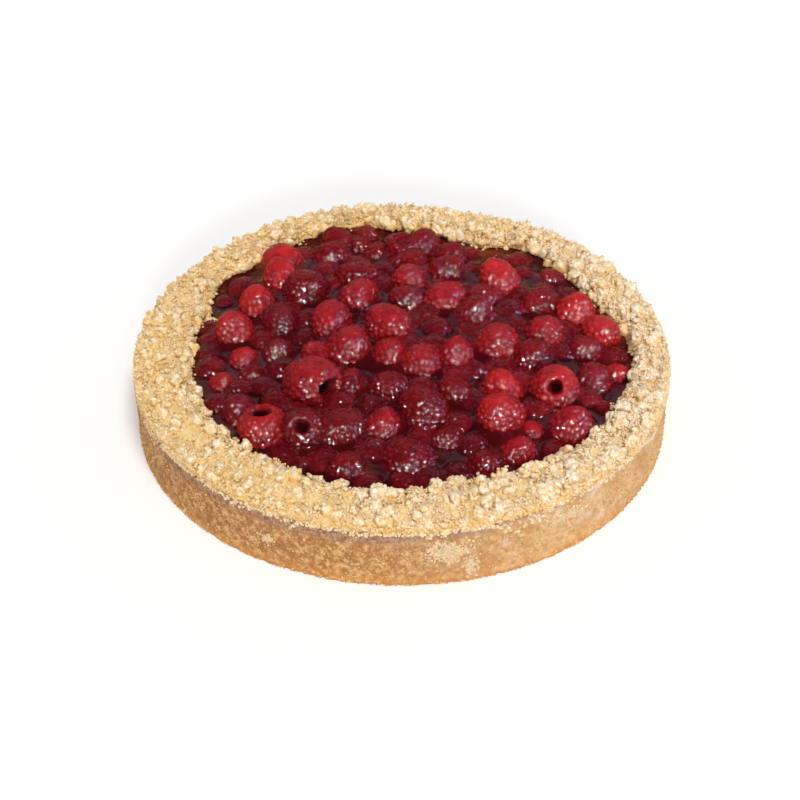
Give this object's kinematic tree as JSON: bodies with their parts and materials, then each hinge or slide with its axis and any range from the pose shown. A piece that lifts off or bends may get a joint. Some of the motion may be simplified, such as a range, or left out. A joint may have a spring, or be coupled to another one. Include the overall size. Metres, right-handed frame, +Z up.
{
  "type": "raspberry crumble tart",
  "caption": "Round raspberry tart: an upright shortcrust case filled with whole raspberries set in dark red gel, with a border of butter crumble.",
  "frame": {"origin": "middle of the flat base, on the surface the tart stands on", "axes": "+Z up out of the filling, -Y to the front of the tart as it is pictured, +X to its right"},
  "size_m": [0.2679, 0.2679, 0.0519],
  "materials": {
    "baked_shortcrust": "matt golden tan baked shortcrust with a dusting of flour and a jam-stained rim",
    "raspberries_in_gel": "glossy dark red set gel over bright and dark red raspberries",
    "butter_crumble": "matt cream yellow butter crumble with golden brown pockets"
  },
  "bodies": {
    "root": {"pastry_case": "baked_shortcrust", "raspberry_filling": "raspberries_in_gel", "crumble_border": "butter_crumble"}
  },
  "joints": []
}
